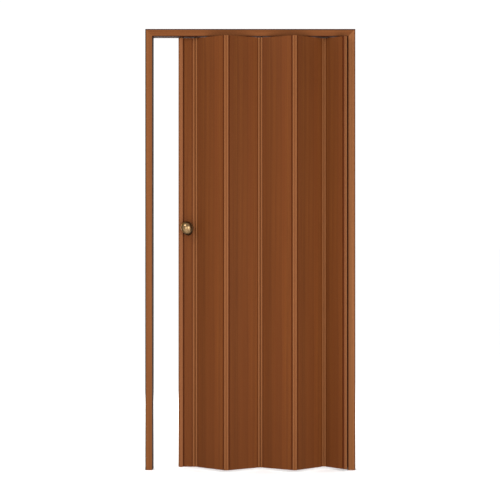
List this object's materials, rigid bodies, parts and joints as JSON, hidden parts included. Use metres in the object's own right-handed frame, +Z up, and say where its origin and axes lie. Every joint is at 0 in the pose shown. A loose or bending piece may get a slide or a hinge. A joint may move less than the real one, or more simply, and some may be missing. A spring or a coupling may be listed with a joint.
{
  "type": "accordion door",
  "caption": "Half-open accordion door of hollow wood-look plastic slats on hinge profiles, hung from a mitred frame, with an oval knob on each side.",
  "frame": {"origin": "centre of the head channel's top face, which is fixed up against the lintel", "axes": "+X across the doorway to the folded stack, +Y through the doorway away from the viewer, +Z up"},
  "size_m": [1, 0.1739, 2.1],
  "materials": {
    "frame_foil": "rigid PVC profile with a satin wood-grain foil, mid brown",
    "trim_foil": "rigid PVC stile with a satin wood-grain foil, mid brown",
    "slat_foil": "hollow PVC slat with a satin wood-grain print, dark brown",
    "hinge_plastic": "soft PVC hinge profile, satin brown",
    "zinc_steel": "zinc-plated steel",
    "roller_plastic": "off-white nylon",
    "antique_brass": "antique brass, brushed and lacquered"
  },
  "bodies": {
    "root": {"left_jamb": "frame_foil", "right_jamb": "frame_foil", "head_channel": "frame_foil", "lead_post": "trim_foil", "lead_slat": "slat_foil", "slat_1": "slat_foil", "slat_2": "slat_foil", "slat_3": "slat_foil", "slat_4": "slat_foil", "end_slat": "slat_foil", "wall_slat": "slat_foil", "hinge_1": "hinge_plastic", "hinge_2": "hinge_plastic", "hinge_3": "hinge_plastic", "hinge_4": "hinge_plastic", "hinge_5": "hinge_plastic", "hinge_6": "hinge_plastic", "packing_strip": "frame_foil", "hanger_1": "zinc_steel", "hanger_2": "zinc_steel", "hanger_3": "zinc_steel", "hanger_4": "zinc_steel", "rollers_1": "roller_plastic", "rollers_2": "roller_plastic", "rollers_3": "roller_plastic", "rollers_4": "roller_plastic", "rose_front": "antique_brass", "rose_back": "antique_brass", "knob_front": "antique_brass", "knob_back": "antique_brass", "knob_spindle": "zinc_steel"}
  },
  "joints": []
}
